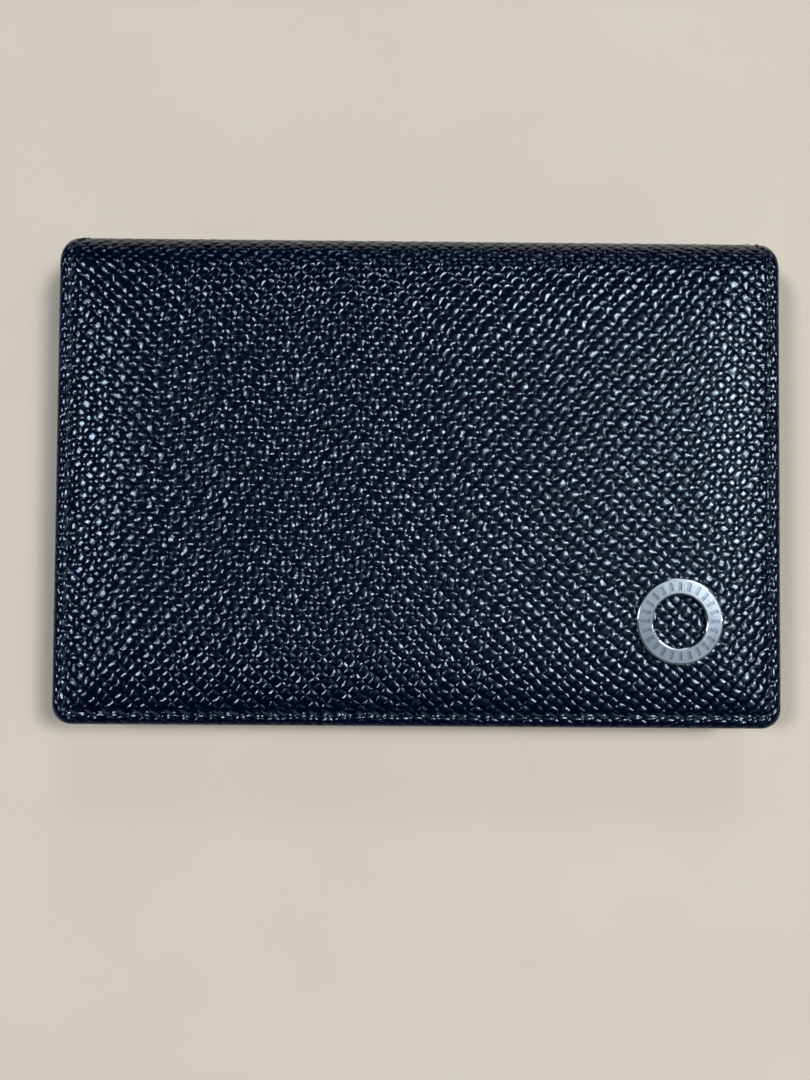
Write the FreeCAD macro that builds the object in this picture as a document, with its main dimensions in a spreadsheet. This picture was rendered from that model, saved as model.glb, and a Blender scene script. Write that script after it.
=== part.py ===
"""Business card case in grained leather: a cover folded over a soft spine, a gusseted pocket on
the back half, card slots in both halves, and a metal ring emblem on the flap.

The closed case lies on its back cover. +X runs along the spine, +Y points from the free edge to
the spine, +Z points up through the flap. The origin is at the bottom centre. Millimetres.
"""
import FreeCAD, Part
import Sketcher
import math
import os

V = FreeCAD.Vector
UP = V(0, 0, 1)

SIZES = {
    "case_width": 110.0,        # along the spine
    "case_depth": 75.0,         # from the free edge to the outside of the spine
    "corner_radius": 3.0,       # of the cover, at the free edge
    "edge_radius": 0.5,         # roundness of the turned edge
    "fold_radius": 5.0,         # outside of the two creases of the spine
    "cover_thickness": 1.0,
    "board_thickness": 0.6,     # stiffener, and the turned-in hem beside it
    "lining_thickness": 0.3,
    "panel_thickness": 0.8,     # inner leather panels
    "gusset_thickness": 0.6,
    "pocket_gap": 5.4,          # inside height of the gusseted pocket
    "closing_gap": 0.8,         # between the closed flap and the pocket
    "crown_height": 0.8,        # how far the flap swells over its board
    "hem_width": 8.0,
    "bed_radius": 1.5,          # corners of the board's bed
    "inner_inset": 1.0,         # from the cover's edge to every inner layer
    "inner_radius": 2.0,
    "lining_top": 28.0,         # where the linings end, short of the creases
    "spine_tab_start": 22.0,    # where the spine's own lining starts
    "pocket_mouth": 27.5,
    "pocket_slot_mouth": 10.0,
    "flap_slip_mouth": 20.0,
    "flap_slot_mouth": 8.0,
    "slot_border": 3.0,         # sewn border round a card slot
    "slot_depth": 0.4,          # thickness of the space inside a card slot
    "gusset_flange": 4.2,       # flat sewn leg of the gusset, from the cover's edge
    "gusset_reach": 7.6,        # inner fold of the gusset, from the cover's edge
    "gusset_fold": 0.9,         # leather across the gusset's fold
    "seam_inset": 1.9,
    "groove_width": 0.8,
    "groove_depth": 0.45,
    "thread_radius": 0.2,
    "stitch_pitch": 2.4,
    "stitch_share": 0.8,        # stitch length over pitch
    "emblem_east": 39.2,        # emblem centre, from the case's centre
    "emblem_south": 21.3,       # the same, towards the free edge
    "emblem_outer_radius": 6.5,
    "emblem_inner_radius": 4.0,
    "emblem_thickness": 1.0,
    "emblem_edge_radius": 0.25,
    "leg_circle_radius": 5.25,
    "leg_radius": 0.5,
    "leg_clearance": 0.05,
    "flute_width": 0.55,
    "flute_length": 1.3,
    "flute_depth": 0.22,
    "washer_outer_radius": 6.8,
    "washer_inner_radius": 3.5,
    "washer_thickness": 0.3,
}
EMBLEM_LEGS = 4
EMBLEM_FLUTES = 24
FOLD_STITCHES = 3               # on each end of a crease
SHARPEST_SEAM_TURN = 0.5        # least radius that a seam turns a corner with
OVERRUN = 1.0                   # how far a cut runs on past the edge that it opens
TOLERANCE = 1e-6

# Distances from the origin, as expressions of the sheet.
HALF_WIDTH = "Sizes.case_width / 2"
FREE_EDGE = "Sizes.case_depth / 2"
SPINE_OUTSIDE = "Sizes.case_depth / 2"
FOLD_START = SPINE_OUTSIDE + " - Sizes.fold_radius"
BED_WIDTH = "Sizes.case_width - 2 * Sizes.hem_width"
SHELL = "(Sizes.cover_thickness + Sizes.board_thickness)"

# Levels of the layers, from the table up.
HEM_LEVEL = "Sizes.cover_thickness"
LINING_LEVEL = HEM_LEVEL + " + Sizes.board_thickness"
POCKET_FLOOR = LINING_LEVEL + " + Sizes.lining_thickness"
POCKET_ROOF = POCKET_FLOOR + " + Sizes.pocket_gap"
FRONT_LEVEL = POCKET_ROOF + " + Sizes.lining_thickness"
SLOT_LEVEL = FRONT_LEVEL + " + Sizes.panel_thickness"
SLOT_TOP = SLOT_LEVEL + " + Sizes.panel_thickness"
FLAP_SLOT_LEVEL = SLOT_TOP + " + Sizes.closing_gap"
FLAP_SLIP_LEVEL = FLAP_SLOT_LEVEL + " + Sizes.panel_thickness"
FLAP_LINING_LEVEL = FLAP_SLIP_LEVEL + " + Sizes.panel_thickness"
FLAP_BOARD_LEVEL = FLAP_LINING_LEVEL + " + Sizes.lining_thickness"
FLAP_COVER_LEVEL = FLAP_BOARD_LEVEL + " + Sizes.board_thickness"
FLAP_TOP = FLAP_COVER_LEVEL + " + Sizes.cover_thickness"
CROWN_TOP = FLAP_TOP + " + Sizes.crown_height"

doc = FreeCAD.newDocument("card_case")
sheet = doc.addObject("Spreadsheet::Sheet", "Sizes")
nodes = []


def fill_sheet():
    """Writes each driving size into a cell that has its name as alias."""
    for row, (alias, size) in enumerate(SIZES.items(), start=1):
        sheet.set(f"A{row}", alias)
        sheet.set(f"B{row}", str(size))
        sheet.setAlias(f"B{row}", alias)
    doc.recompute()


def mm(expression):
    """The value of an expression of the sheet."""
    return float(sheet.evalExpression(expression))


# ---------------------------------------------------------------- sketches and features

def new_body(label):
    body = doc.addObject("PartDesign::Body", label)
    body.Label = label
    nodes.append(body)
    return body


def new_sketch(body, name, role="XY_Plane", offset="0"):
    """A sketch on one of the body's own origin planes, moved along its normal by offset."""
    sketch = body.newObject("Sketcher::SketchObject", name)
    plane = next(f for f in body.Origin.OriginFeatures if f.Role == role)
    sketch.AttachmentSupport = [(plane, "")]
    sketch.MapMode = "FlatFace"
    sketch.setExpression("AttachmentOffset.Base.z", offset)
    return sketch


def constrain(sketch, expression, kind, *places):
    """Adds a dimension that is driven by an expression of the sheet."""
    index = sketch.addConstraint(Sketcher.Constraint(kind, *places, mm(expression)))
    sketch.setExpression(f"Constraints[{index}]", expression)


def tie(sketch, kind, *places):
    sketch.addConstraint(Sketcher.Constraint(kind, *places))


def add_outline(sketch, half_width, free_edge, top, radius):
    """A panel's outline: straight at the top, with a rounded corner at each end of the free edge."""
    wide, low, high, r = mm(half_width), -mm(free_edge), mm(top), mm(radius)
    east_corner = Part.Circle(V(wide - r, low + r), UP, r)
    west_corner = Part.Circle(V(r - wide, low + r), UP, r)
    south = sketch.GeometryCount
    southeast, east, north, west, southwest = range(south + 1, south + 6)
    sketch.addGeometry([
        Part.LineSegment(V(r - wide, low), V(wide - r, low)),
        Part.ArcOfCircle(east_corner, -math.pi / 2, 0),
        Part.LineSegment(V(wide, low + r), V(wide, high)),
        Part.LineSegment(V(wide, high), V(-wide, high)),
        Part.LineSegment(V(-wide, high), V(-wide, low + r)),
        Part.ArcOfCircle(west_corner, math.pi, 1.5 * math.pi),
    ], False)
    tie(sketch, "Tangent", south, 2, southeast, 1)
    tie(sketch, "Tangent", southeast, 2, east, 1)
    tie(sketch, "Coincident", east, 2, north, 1)
    tie(sketch, "Coincident", north, 2, west, 1)
    tie(sketch, "Tangent", west, 2, southwest, 1)
    tie(sketch, "Tangent", southwest, 2, south, 1)
    tie(sketch, "Horizontal", south)
    tie(sketch, "Horizontal", north)
    tie(sketch, "Vertical", east)
    tie(sketch, "Equal", southeast, southwest)
    constrain(sketch, radius, "Radius", southeast)
    constrain(sketch, half_width, "DistanceX", -1, 1, east, 1)
    constrain(sketch, half_width, "DistanceX", west, 1, -1, 1)
    constrain(sketch, free_edge, "DistanceY", south, 1, -1, 1)
    constrain(sketch, top, "DistanceY", -1, 1, north, 1)


def add_rectangle(sketch, left, right, low, high):
    """A rectangle in the positive quarter of the sketch."""
    x0, x1, y0, y1 = mm(left), mm(right), mm(low), mm(high)
    corners = [V(x0, y0), V(x1, y0), V(x1, y1), V(x0, y1)]
    first = sketch.GeometryCount
    for k in range(4):
        sketch.addGeometry(Part.LineSegment(corners[k], corners[(k + 1) % 4]), False)
    for k in range(4):
        tie(sketch, "Coincident", first + k, 2, first + (k + 1) % 4, 1)
        tie(sketch, "Horizontal" if k % 2 == 0 else "Vertical", first + k)
    constrain(sketch, left, "DistanceX", -1, 1, first, 1)
    constrain(sketch, right, "DistanceX", -1, 1, first, 2)
    constrain(sketch, low, "DistanceY", -1, 1, first, 1)
    constrain(sketch, high, "DistanceY", -1, 1, first + 2, 1)


def add_sector(sketch, east, centre_height, outer, inner, upper):
    """A quarter ring round (east, centre_height), on its outer lower or outer upper side."""
    centre = V(mm(east), mm(centre_height))
    start = 0 if upper else -math.pi / 2
    big = sketch.addGeometry(Part.ArcOfCircle(
        Part.Circle(centre, UP, mm(outer)), start, start + math.pi / 2), False)
    small = sketch.addGeometry(Part.ArcOfCircle(
        Part.Circle(centre, UP, mm(inner)), start, start + math.pi / 2), False)
    ends = []
    for arc in (big, small):
        ends.append([centre + V(math.cos(a), math.sin(a)) * mm(outer if arc == big else inner)
                     for a in (start, start + math.pi / 2)])
    for k in range(2):
        side = sketch.addGeometry(Part.LineSegment(ends[0][k], ends[1][k]), False)
        tie(sketch, "Coincident", side, 1, big, k + 1)
        tie(sketch, "Coincident", side, 2, small, k + 1)
        level = (k == 0) == upper
        tie(sketch, "Horizontal" if level else "Vertical", side)
        tie(sketch, "Horizontal" if level else "Vertical", big, 3, big, k + 1)
    tie(sketch, "Coincident", big, 3, small, 3)
    constrain(sketch, outer, "Radius", big)
    constrain(sketch, inner, "Radius", small)
    constrain(sketch, east, "DistanceX", -1, 1, big, 3)
    constrain(sketch, centre_height, "DistanceY", -1, 1, big, 3)


def add_circle(sketch, radius, east=None, south=None):
    """A circle round the origin, or round a centre east and south of it."""
    centre = V(mm(east), -mm(south)) if east else V(0, 0)
    circle = sketch.addGeometry(Part.Circle(centre, UP, mm(radius)), False)
    constrain(sketch, radius, "Radius", circle)
    if east:
        constrain(sketch, east, "DistanceX", -1, 1, circle, 3)
        constrain(sketch, south, "DistanceY", circle, 3, -1, 1)
    else:
        tie(sketch, "Coincident", circle, 3, -1, 1)


def extrude(body, kind, sketch, length, name, reverse=False, both_sides=False):
    """Pads or pockets a sketch by length, and checks that a pocket cuts something."""
    before = body.Shape.Volume if kind == "Pocket" else 0
    feature = body.newObject("PartDesign::" + kind, name)
    feature.Profile = sketch
    feature.Reversed = reverse
    if both_sides:
        feature.SideType = "Symmetric"
    feature.setExpression("Length", length)
    doc.recompute()
    if kind == "Pocket" and body.Shape.Volume > before - TOLERANCE:
        raise RuntimeError(f"{name} cuts nothing")
    return feature


def fillet(body, base, chosen, radius, name):
    """Rounds the edges of a feature for which chosen(edge) is true."""
    feature = body.newObject("PartDesign::Fillet", name)
    edges = [f"Edge{k}" for k, e in enumerate(base.Shape.Edges, start=1) if chosen(e)]
    feature.Base = (base, edges)
    feature.setExpression("Radius", radius)
    doc.recompute()
    return feature


def repeat(body, feature, count, name):
    """Repeats a feature round the body's Z axis."""
    pattern = body.newObject("PartDesign::PolarPattern", name)
    pattern.Originals = [feature]
    axis = next(f for f in body.Origin.OriginFeatures if f.Role == "Z_Axis")
    pattern.Axis = (axis, [""])
    pattern.Angle = 360
    pattern.Occurrences = count
    body.Tip = pattern
    doc.recompute()
    return pattern


# ---------------------------------------------------------------- flat pieces

def flat_panel(label, level, thickness, inset, top, radius):
    """A flat panel with its edges inset from the cover's."""
    body = new_body(label)
    sketch = new_sketch(body, label + "_outline", offset=level)
    add_outline(sketch, f"{HALF_WIDTH} - {inset}", f"{FREE_EDGE} - {inset}", top, radius)
    extrude(body, "Pad", sketch, thickness, label + "_pad")
    return body


def cut_slot(body, level, inset, reverse):
    """Hollows one face of a panel, inside a sewn border, so that a card slides in at its top."""
    border = f"{inset} + Sizes.slot_border"
    sketch = new_sketch(body, body.Label + "_slot_outline", offset=level)
    add_outline(sketch, f"{HALF_WIDTH} - ({border})", f"{FREE_EDGE} - ({border})",
                FREE_EDGE, "Sizes.bed_radius")
    extrude(body, "Pocket", sketch, "Sizes.slot_depth", body.Label + "_slot", reverse=reverse)


def cover_half(label, level, bed_level, groove_level, face_up):
    """One half of the outer leather: its plate and hem, the bed for the board, the seam's groove."""
    body = new_body(label)
    outline = new_sketch(body, label + "_outline", offset=level)
    add_outline(outline, HALF_WIDTH, FREE_EDGE, FOLD_START, "Sizes.corner_radius")
    plate = extrude(body, "Pad", outline, SHELL, label + "_plate")
    fold_line = mm(FOLD_START)
    fillet(body, plate, lambda edge: edge.BoundBox.ZLength < TOLERANCE
           and edge.BoundBox.YMin < fold_line - TOLERANCE, "Sizes.edge_radius", label + "_rim")
    if face_up:
        add_crown(body, label)
    bed = new_sketch(body, label + "_bed_outline", offset=bed_level)
    add_outline(bed, f"{HALF_WIDTH} - Sizes.hem_width", f"{FREE_EDGE} - Sizes.hem_width",
                FOLD_START, "Sizes.bed_radius")
    extrude(body, "Pocket", bed, "Sizes.board_thickness", label + "_bed", reverse=face_up)
    groove = new_sketch(body, label + "_groove_outline", offset=groove_level)
    for side, past_fold in (("-", 2 * OVERRUN), ("+", OVERRUN)):
        inset = f"(Sizes.seam_inset {side} Sizes.groove_width / 2)"
        add_outline(groove, f"{HALF_WIDTH} - {inset}", f"{FREE_EDGE} - {inset}",
                    f"{FOLD_START} + {past_fold}", f"Sizes.corner_radius - {inset}")
    extrude(body, "Pocket", groove, "Sizes.groove_depth", label + "_groove", reverse=not face_up)
    return body


def add_crown(body, label):
    """The swell of the outer leather over the board."""
    inset = "(Sizes.seam_inset + Sizes.groove_width)"
    foot = new_sketch(body, label + "_crown_foot", offset=FLAP_TOP)
    add_outline(foot, f"{HALF_WIDTH} - {inset}", f"{FREE_EDGE} - {inset}",
                FOLD_START, "Sizes.bed_radius")
    head = new_sketch(body, label + "_crown_head", offset=CROWN_TOP)
    add_outline(head, f"{HALF_WIDTH} - Sizes.hem_width", f"{FREE_EDGE} - Sizes.hem_width",
                f"{FOLD_START} - Sizes.fold_radius", "Sizes.bed_radius")
    crown = body.newObject("PartDesign::AdditiveLoft", label + "_crown")
    crown.Profile = foot
    crown.Sections = [head]
    doc.recompute()


def drill_legs(body, level, depth, name, reverse):
    """Holes for the emblem's legs."""
    sketch = new_sketch(body, name + "_outline", offset=level)
    for k in range(EMBLEM_LEGS):
        turn = f"{(k + 0.5) * 360 / EMBLEM_LEGS} deg"
        add_circle(sketch, "Sizes.leg_radius + Sizes.leg_clearance",
                   f"Sizes.emblem_east + Sizes.leg_circle_radius * cos({turn})",
                   f"Sizes.emblem_south - Sizes.leg_circle_radius * sin({turn})")
    extrude(body, "Pocket", sketch, depth, name, reverse=reverse)


def make_back_half():
    cover_half("back_cover_leather", "0", LINING_LEVEL, "0", face_up=False)
    board = new_body("back_stiffener")
    outline = new_sketch(board, "back_stiffener_outline", offset=HEM_LEVEL)
    add_outline(outline, f"{HALF_WIDTH} - Sizes.hem_width", f"{FREE_EDGE} - Sizes.hem_width",
                "Sizes.spine_tab_start", "Sizes.bed_radius")
    extrude(board, "Pad", outline, "Sizes.board_thickness", "back_stiffener_pad")
    flat_panel("back_lining", LINING_LEVEL, "Sizes.lining_thickness", "Sizes.inner_inset",
               "Sizes.lining_top", "Sizes.inner_radius")


def make_pocket_front():
    flat_panel("pocket_front_lining", POCKET_ROOF, "Sizes.lining_thickness",
               "Sizes.inner_inset", "Sizes.pocket_mouth", "Sizes.inner_radius")
    flat_panel("pocket_front_panel", FRONT_LEVEL, "Sizes.panel_thickness",
               "Sizes.inner_inset", "Sizes.pocket_mouth", "Sizes.inner_radius")
    slot = flat_panel("pocket_slot_panel", SLOT_LEVEL, "Sizes.panel_thickness",
                      "Sizes.inner_inset", "Sizes.pocket_slot_mouth", "Sizes.inner_radius")
    cut_slot(slot, SLOT_LEVEL, "Sizes.inner_inset", reverse=True)


def make_flap():
    cover = cover_half("flap_cover_leather", FLAP_BOARD_LEVEL, FLAP_BOARD_LEVEL, FLAP_TOP,
                       face_up=True)
    drill_legs(cover, CROWN_TOP, "Sizes.crown_height + Sizes.cover_thickness",
               "flap_leg_holes", reverse=False)
    board = new_body("flap_stiffener")
    outline = new_sketch(board, "flap_stiffener_outline", offset=FLAP_BOARD_LEVEL)
    add_outline(outline, f"{HALF_WIDTH} - Sizes.hem_width", f"{FREE_EDGE} - Sizes.hem_width",
                "Sizes.spine_tab_start", "Sizes.bed_radius")
    extrude(board, "Pad", outline, "Sizes.board_thickness", "flap_stiffener_pad")
    recess = new_sketch(board, "washer_recess_outline", offset=FLAP_BOARD_LEVEL)
    add_circle(recess, "Sizes.washer_outer_radius + Sizes.leg_clearance",
               "Sizes.emblem_east", "Sizes.emblem_south")
    extrude(board, "Pocket", recess, "Sizes.washer_thickness", "washer_recess", reverse=True)
    drill_legs(board, FLAP_COVER_LEVEL, "Sizes.board_thickness", "board_leg_holes", reverse=False)
    flat_panel("flap_lining", FLAP_LINING_LEVEL, "Sizes.lining_thickness",
               "Sizes.inner_inset", "Sizes.lining_top", "Sizes.inner_radius")
    for label, level, mouth in (
        ("flap_slip_panel", FLAP_SLIP_LEVEL, "Sizes.flap_slip_mouth"),
        ("flap_slot_panel", FLAP_SLOT_LEVEL, "Sizes.flap_slot_mouth"),
    ):
        panel = flat_panel(label, level, "Sizes.panel_thickness", "Sizes.inner_inset",
                           mouth, "Sizes.inner_radius")
        cut_slot(panel, f"{level} + Sizes.panel_thickness", "Sizes.inner_inset", reverse=False)


# ---------------------------------------------------------------- spine

def make_fold(label, lining_label, centre_height, upper):
    """One crease of the spine: the outer leather with its hems, and the spine's lining inside."""
    leather = new_body(label)
    ring = new_sketch(leather, label + "_section", "YZ_Plane")
    add_sector(ring, FOLD_START, centre_height, "Sizes.fold_radius",
               "Sizes.fold_radius - " + SHELL, upper)
    extrude(leather, "Pad", ring, "Sizes.case_width", label + "_pad", both_sides=True)
    bed = new_sketch(leather, label + "_bed_section", "YZ_Plane")
    add_sector(bed, FOLD_START, centre_height, "Sizes.fold_radius - Sizes.cover_thickness",
               "Sizes.fold_radius - " + SHELL, upper)
    extrude(leather, "Pocket", bed, BED_WIDTH, label + "_bed", both_sides=True)
    groove = new_sketch(leather, label + "_groove_section", "YZ_Plane",
                        f"{HALF_WIDTH} - Sizes.seam_inset + Sizes.groove_width / 2")
    add_sector(groove, FOLD_START, centre_height, "Sizes.fold_radius",
               "Sizes.fold_radius - Sizes.groove_depth", upper)
    cut = extrude(leather, "Pocket", groove, "Sizes.groove_width", label + "_groove")
    mirror_groove(leather, cut, label)
    lining = new_body(lining_label)
    section = new_sketch(lining, lining_label + "_section", "YZ_Plane")
    add_sector(section, FOLD_START, centre_height, "Sizes.fold_radius - Sizes.cover_thickness",
               "Sizes.fold_radius - " + SHELL, upper)
    extrude(lining, "Pad", section, BED_WIDTH, lining_label + "_pad", both_sides=True)


def mirror_groove(body, cut, label):
    mirrored = body.newObject("PartDesign::Mirrored", label + "_other_groove")
    mirrored.Originals = [cut]
    plane = next(f for f in body.Origin.OriginFeatures if f.Role == "YZ_Plane")
    mirrored.MirrorPlane = (plane, [""])
    body.Tip = mirrored
    doc.recompute()


def make_spine_wall():
    """The straight part of the spine between its two creases."""
    low, high = "Sizes.fold_radius", f"{FLAP_TOP} - Sizes.fold_radius"
    leather = new_body("spine_leather")
    section = new_sketch(leather, "spine_section", "YZ_Plane")
    add_rectangle(section, f"{SPINE_OUTSIDE} - {SHELL}", SPINE_OUTSIDE, low, high)
    extrude(leather, "Pad", section, "Sizes.case_width", "spine_pad", both_sides=True)
    bed = new_sketch(leather, "spine_bed_section", "YZ_Plane")
    add_rectangle(bed, f"{SPINE_OUTSIDE} - {SHELL}", f"{SPINE_OUTSIDE} - Sizes.cover_thickness",
                  low, high)
    extrude(leather, "Pocket", bed, BED_WIDTH, "spine_bed", both_sides=True)
    groove = new_sketch(leather, "spine_groove_section", "YZ_Plane",
                        f"{HALF_WIDTH} - Sizes.seam_inset + Sizes.groove_width / 2")
    add_rectangle(groove, f"{SPINE_OUTSIDE} - Sizes.groove_depth", SPINE_OUTSIDE, low, high)
    cut = extrude(leather, "Pocket", groove, "Sizes.groove_width", "spine_groove")
    mirror_groove(leather, cut, "spine")
    lining = new_body("spine_lining_middle")
    liner = new_sketch(lining, "spine_lining_section", "YZ_Plane")
    add_rectangle(liner, f"{SPINE_OUTSIDE} - {SHELL}",
                  f"{SPINE_OUTSIDE} - Sizes.cover_thickness", low, high)
    extrude(lining, "Pad", liner, BED_WIDTH, "spine_lining_pad", both_sides=True)


def make_lining_tab(label, level):
    """An end of the spine's lining, glued flat into a cover half beside its board."""
    tab = doc.addObject("Part::Box", label)
    tab.Label = label
    tab.setExpression("Length", BED_WIDTH)
    tab.setExpression("Width", f"{FOLD_START} - Sizes.spine_tab_start")
    tab.setExpression("Height", "Sizes.board_thickness")
    tab.setExpression("Placement.Base.x", "Sizes.hem_width - Sizes.case_width / 2")
    tab.setExpression("Placement.Base.y", "Sizes.spine_tab_start")
    tab.setExpression("Placement.Base.z", level)
    nodes.append(tab)


# ---------------------------------------------------------------- gusset

def add_polygon(sketch, corners):
    """A closed outline of corners, each given by how far west of and above the origin it is."""
    points = [V(-mm(west), mm(height)) for west, height in corners]
    for k, point in enumerate(points):
        sketch.addGeometry(Part.LineSegment(point, points[(k + 1) % len(points)]), False)
    for k, (west, height) in enumerate(corners):
        tie(sketch, "Coincident", k, 2, (k + 1) % len(corners), 1)
        constrain(sketch, west, "DistanceX", k, 1, -1, 1)
        constrain(sketch, height, "DistanceY", -1, 1, k, 1)


def make_gusset():
    """One folded strip round three sides of the pocket, mitred at its two corners."""
    body = new_body("pocket_gusset")
    section = new_sketch(body, "gusset_section", "XZ_Plane", "-Sizes.pocket_mouth")
    edge, flange, reach = "Sizes.inner_inset", "Sizes.gusset_flange", "Sizes.gusset_reach"
    bend = flange + " + Sizes.gusset_thickness / 2"
    inside = reach + " - Sizes.gusset_fold"
    middle = POCKET_FLOOR + " + Sizes.pocket_gap / 2"
    lower = POCKET_FLOOR + " + Sizes.gusset_thickness"
    upper = POCKET_ROOF + " - Sizes.gusset_thickness"
    corners = [(edge, POCKET_FLOOR), (bend, POCKET_FLOOR), (reach, middle), (bend, POCKET_ROOF),
               (edge, POCKET_ROOF), (edge, upper), (flange, upper), (inside, middle),
               (flange, lower), (edge, lower)]
    add_polygon(section, [(f"{HALF_WIDTH} - ({inset})", height) for inset, height in corners])
    path = new_sketch(body, "gusset_path", offset=POCKET_FLOOR)
    wide, low, mouth = mm(HALF_WIDTH), -mm(FREE_EDGE), mm("Sizes.pocket_mouth")
    turns = [V(-wide, mouth), V(-wide, low), V(wide, low), V(wide, mouth)]
    for k in range(3):
        path.addGeometry(Part.LineSegment(turns[k], turns[k + 1]), False)
        tie(path, "Horizontal" if k == 1 else "Vertical", k)
    tie(path, "Coincident", 0, 2, 1, 1)
    tie(path, "Coincident", 1, 2, 2, 1)
    constrain(path, HALF_WIDTH, "DistanceX", 0, 1, -1, 1)
    constrain(path, HALF_WIDTH, "DistanceX", -1, 1, 2, 1)
    constrain(path, FREE_EDGE, "DistanceY", 1, 1, -1, 1)
    constrain(path, "Sizes.pocket_mouth", "DistanceY", -1, 1, 0, 1)
    constrain(path, "Sizes.pocket_mouth", "DistanceY", -1, 1, 2, 2)
    pipe = body.newObject("PartDesign::AdditivePipe", "gusset_strip")
    pipe.Profile = section
    pipe.Spine = path
    pipe.Transition = "Right corner"
    doc.recompute()


# ---------------------------------------------------------------- emblem

def place_emblem(body, level):
    body.setExpression("Placement.Base.x", "Sizes.emblem_east")
    body.setExpression("Placement.Base.y", "-Sizes.emblem_south")
    body.setExpression("Placement.Base.z", level)


def add_flute(sketch):
    """A short radial bar across the middle of the ring's face, centred on the X axis."""
    middle = "(Sizes.emblem_outer_radius + Sizes.emblem_inner_radius) / 2"
    near, far = f"{middle} - Sizes.flute_length / 2", f"{middle} + Sizes.flute_length / 2"
    half = mm("Sizes.flute_width / 2")
    corners = [V(mm(near), -half), V(mm(far), -half), V(mm(far), half), V(mm(near), half)]
    for k in range(4):
        sketch.addGeometry(Part.LineSegment(corners[k], corners[(k + 1) % 4]), False)
    for k in range(4):
        tie(sketch, "Coincident", k, 2, (k + 1) % 4, 1)
        tie(sketch, "Horizontal" if k % 2 == 0 else "Vertical", k)
    constrain(sketch, near, "DistanceX", -1, 1, 0, 1)
    constrain(sketch, far, "DistanceX", -1, 1, 0, 2)
    constrain(sketch, "Sizes.flute_width / 2", "DistanceY", 0, 1, -1, 1)
    constrain(sketch, "Sizes.flute_width / 2", "DistanceY", -1, 1, 2, 1)


def make_emblem():
    """A flat metal ring with a fluted face, and legs that go through the leather and the board."""
    ring = new_body("emblem_ring")
    circles = new_sketch(ring, "ring_circles")
    add_circle(circles, "Sizes.emblem_outer_radius")
    add_circle(circles, "Sizes.emblem_inner_radius")
    disc = extrude(ring, "Pad", circles, "Sizes.emblem_thickness", "ring_pad")
    top = mm("Sizes.emblem_thickness")
    fillet(ring, disc, lambda edge: edge.BoundBox.ZMin > top - TOLERANCE,
           "Sizes.emblem_edge_radius", "ring_edges")
    flute = new_sketch(ring, "flute_outline", offset="Sizes.emblem_thickness")
    add_flute(flute)
    cut = extrude(ring, "Pocket", flute, "Sizes.flute_depth", "flute")
    repeat(ring, cut, EMBLEM_FLUTES, "flutes")
    leg_outline = new_sketch(ring, "leg_outline")
    half_turn = 180 / EMBLEM_LEGS
    add_circle(leg_outline, "Sizes.leg_radius",
               f"Sizes.leg_circle_radius * cos({half_turn} deg)",
               f"Sizes.leg_circle_radius * sin({half_turn} deg)")
    leg = extrude(ring, "Pad", leg_outline,
                  "Sizes.crown_height + Sizes.cover_thickness + Sizes.board_thickness"
                  " - Sizes.leg_clearance", "leg", reverse=True)
    repeat(ring, leg, EMBLEM_LEGS, "legs")
    place_emblem(ring, CROWN_TOP)

    washer = new_body("emblem_backing_washer")
    face = new_sketch(washer, "washer_circles")
    add_circle(face, "Sizes.washer_outer_radius")
    add_circle(face, "Sizes.washer_inner_radius")
    extrude(washer, "Pad", face, "Sizes.washer_thickness", "washer_pad")
    hole_outline = new_sketch(washer, "washer_hole_outline", offset="Sizes.washer_thickness")
    add_circle(hole_outline, "Sizes.leg_radius + Sizes.leg_clearance",
               f"Sizes.leg_circle_radius * cos({half_turn} deg)",
               f"Sizes.leg_circle_radius * sin({half_turn} deg)")
    hole = extrude(washer, "Pocket", hole_outline, "Sizes.washer_thickness", "washer_hole")
    repeat(washer, hole, EMBLEM_LEGS, "washer_holes")
    place_emblem(washer, FLAP_BOARD_LEVEL)


# ---------------------------------------------------------------- stitches

def make_stitches(label, places):
    """Separate thread lengths with tapered ends. A place is a point and the thread's direction."""
    radius = mm("Sizes.thread_radius")
    length = mm("Sizes.stitch_pitch * Sizes.stitch_share")
    thread = Part.makeCylinder(radius, length - 2 * radius, V(radius - length / 2, 0, 0), V(1, 0, 0))
    for side in (-1, 1):
        tip = Part.makeCone(radius, radius / 2, radius, V(side * (length / 2 - radius), 0, 0),
                            V(side, 0, 0))
        thread = thread.fuse(tip)
    thread = thread.removeSplitter()
    solids = []
    for point, direction in places:
        one = thread.copy()
        one.Placement = FreeCAD.Placement(point, FreeCAD.Rotation(V(1, 0, 0), direction))
        solids.append(one)
    node = doc.addObject("Part::Feature", label)
    node.Label = label
    node.Shape = Part.makeCompound(solids)
    nodes.append(node)


def seam(inset, top, height_at):
    """Places of stitches down one side, along the free edge and up the other side."""
    wide, low, high = mm(f"{HALF_WIDTH} - ({inset})"), -mm(f"{FREE_EDGE} - ({inset})"), mm(top)
    corner = max(mm(f"Sizes.corner_radius - ({inset})"), SHARPEST_SEAM_TURN)
    side, base, bend = high - low - corner, 2 * (wide - corner), math.pi / 2 * corner
    total = 2 * side + base + 2 * bend
    count = round(total / mm("Sizes.stitch_pitch"))
    places = []
    for k in range(count):
        along = (k + 0.5) * total / count
        mirrored = along > total / 2
        if mirrored:
            along = total - along
        if along < side:
            point, heading = V(-wide, high - along, 0), -math.pi / 2
        elif along < side + bend:
            turned = (along - side) / corner
            point = V(corner * (1 - math.cos(turned)) - wide, low + corner * (1 - math.sin(turned)), 0)
            heading = turned - math.pi / 2
        else:
            point, heading = V(corner - wide + along - side - bend, low, 0), 0
        if mirrored:
            point.x, heading = -point.x, -heading
        point.z = height_at(point.y)
        places.append((point, V(math.cos(heading), math.sin(heading), 0)))
    return places


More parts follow.
